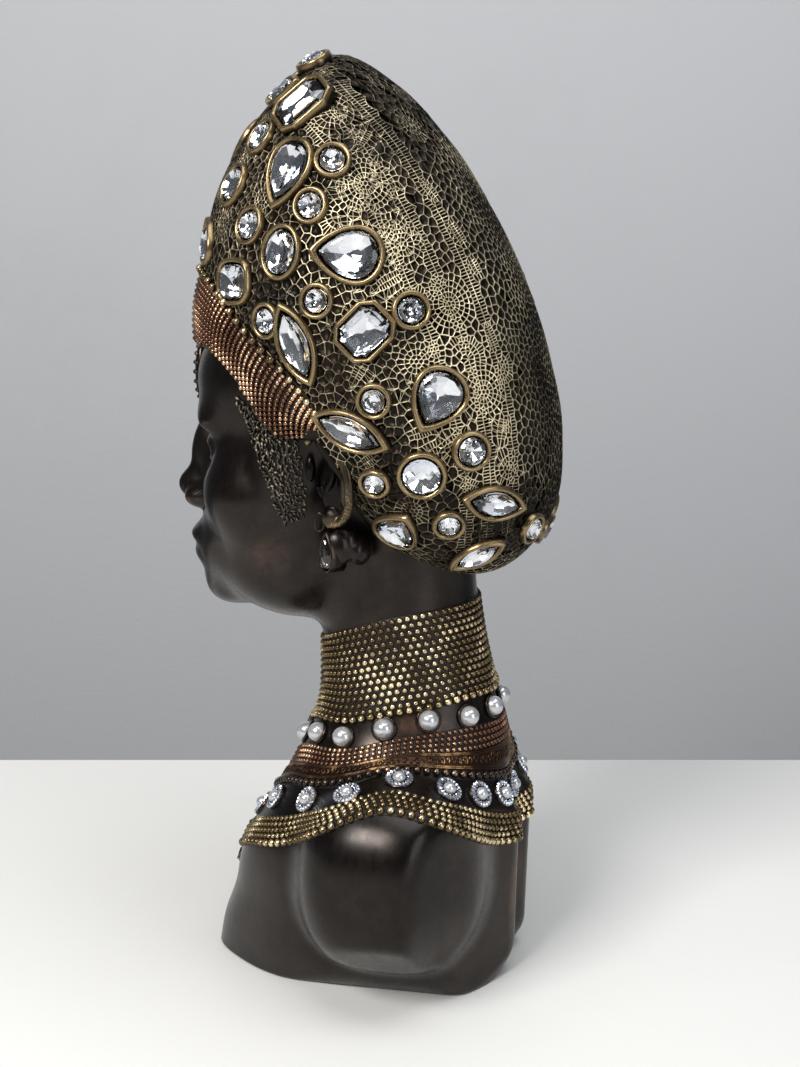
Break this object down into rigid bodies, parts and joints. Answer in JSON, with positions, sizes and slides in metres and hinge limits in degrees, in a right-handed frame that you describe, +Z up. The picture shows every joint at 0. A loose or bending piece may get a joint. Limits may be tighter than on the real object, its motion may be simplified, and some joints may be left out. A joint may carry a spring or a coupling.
{
  "type": "african queen bust",
  "caption": "Decorative cast bust of a woman in a tall swept headdress, with beaded collars, bezel-set clear stones and a flat base.",
  "frame": {"origin": "on the flat underside, below the middle of the neck", "axes": "+Z up, the face looks along -Y, the figure's left side is +X"},
  "size_m": [0.1524, 0.151, 0.3483],
  "materials": {
    "resin": "cast resin painted dark bronze with dry-brushed antique gold and copper",
    "crystal": "clear faceted acrylic, foil-backed"
  },
  "bodies": {
    "root": {"bust": "resin", "stone_chest_drop": "crystal", "stone_earring_left": "crystal", "stone_earring_right": "crystal", "stone_left_band_marquise": "crystal", "stone_left_brow_cushion": "crystal", "stone_left_crest_marquise": "crystal", "stone_left_crest_octagon": "crystal", "stone_left_ear_marquise": "crystal", "stone_left_front_drop": "crystal", "stone_left_front_oval": "crystal", "stone_left_great_pear": "crystal", "stone_left_nape_marquise": "crystal", "stone_left_nape_round": "crystal", "stone_left_rear_pear": "crystal", "stone_left_rim_marquise": "crystal", "stone_left_rim_pear": "crystal", "stone_left_side_octagon": "crystal", "stone_left_side_oval": "crystal", "stone_left_temple_pear": "crystal", "stone_middle_brow_octagon": "crystal", "stone_middle_nape_oval": "crystal", "stone_middle_peak_oval": "crystal", "stone_middle_upper_pear": "crystal", "stone_neck_drop": "crystal", "stone_right_band_marquise": "crystal", "stone_right_brow_cushion": "crystal", "stone_right_crest_marquise": "crystal", "stone_right_crest_octagon": "crystal", "stone_right_ear_marquise": "crystal", "stone_right_front_drop": "crystal", "stone_right_front_oval": "crystal", "stone_right_great_pear": "crystal", "stone_right_nape_marquise": "crystal", "stone_right_nape_round": "crystal", "stone_right_rear_pear": "crystal", "stone_right_rim_marquise": "crystal", "stone_right_rim_pear": "crystal", "stone_right_side_octagon": "crystal", "stone_right_side_oval": "crystal", "stone_right_temple_pear": "crystal"}
  },
  "joints": []
}
